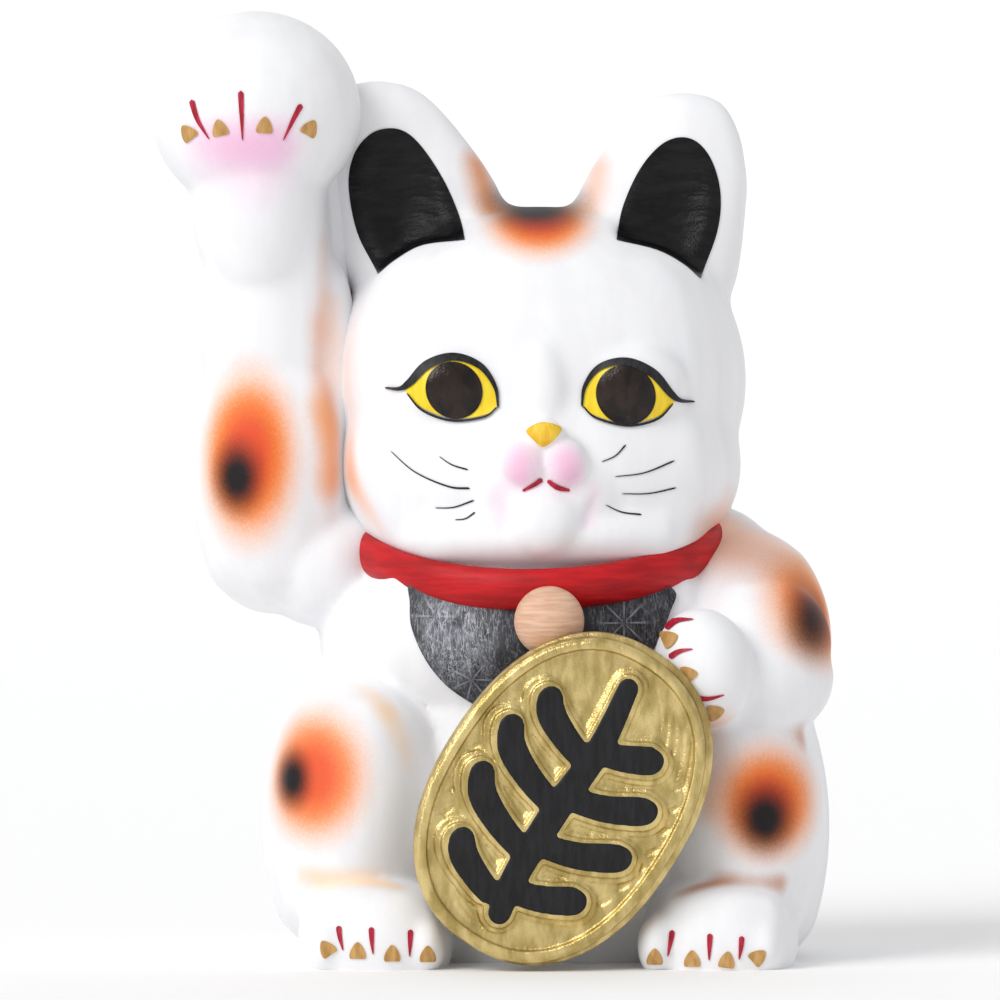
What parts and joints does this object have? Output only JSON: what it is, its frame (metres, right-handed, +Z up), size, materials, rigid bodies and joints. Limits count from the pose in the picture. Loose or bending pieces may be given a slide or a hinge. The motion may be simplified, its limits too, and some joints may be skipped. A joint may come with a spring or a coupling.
{
  "type": "beckoning cat figurine",
  "caption": "Seated cat figurine and coin bank with one long paw raised beside its head and an oval coin held upright in front of its belly.",
  "frame": {"origin": "on the surface the cat sits on, under the middle of the whole figure", "axes": "+Z up; the cat faces -Y; +X to its left, so the raised right arm is on -X"},
  "size_m": [0.1512, 0.1238, 0.21],
  "materials": {
    "bisque": "matt white paint over unglazed earthenware, airbrushed",
    "red_enamel": "brushed satin red paint",
    "bell_enamel": "matt beige paint",
    "bib_enamel": "charcoal paint with fine silver brush lines",
    "gold_paint": "satin gold paint",
    "black_enamel": "brushed gloss black paint",
    "yellow_enamel": "satin yellow paint",
    "pupil_enamel": "gloss dark brown paint",
    "nose_enamel": "satin yellow-orange paint",
    "stopper_rubber": "soft matt black"
  },
  "bodies": {
    "figure": {"torso_shell": "bisque", "head_shell": "bisque", "raised_arm": "bisque", "lowered_arm": "bisque", "haunch_right": "bisque", "haunch_left": "bisque", "foot_right": "bisque", "foot_left": "bisque", "tail": "bisque", "collar_band": "red_enamel", "bell": "bell_enamel", "bib": "bib_enamel", "coin_plate": "gold_paint", "coin_sprig": "black_enamel", "ear_lining_right": "black_enamel", "ear_lining_left": "black_enamel", "eye_right": "yellow_enamel", "eye_left": "yellow_enamel", "pupil_right": "pupil_enamel", "pupil_left": "pupil_enamel", "nose": "nose_enamel"},
    "stopper": {"base_stopper": "stopper_rubber"}
  },
  "joints": [
    {"name": "stopper_pull", "type": "slide", "parent": "figure", "child": "stopper", "axis": [0, 0, -1], "range_m": [0, 0.02]}
  ]
}
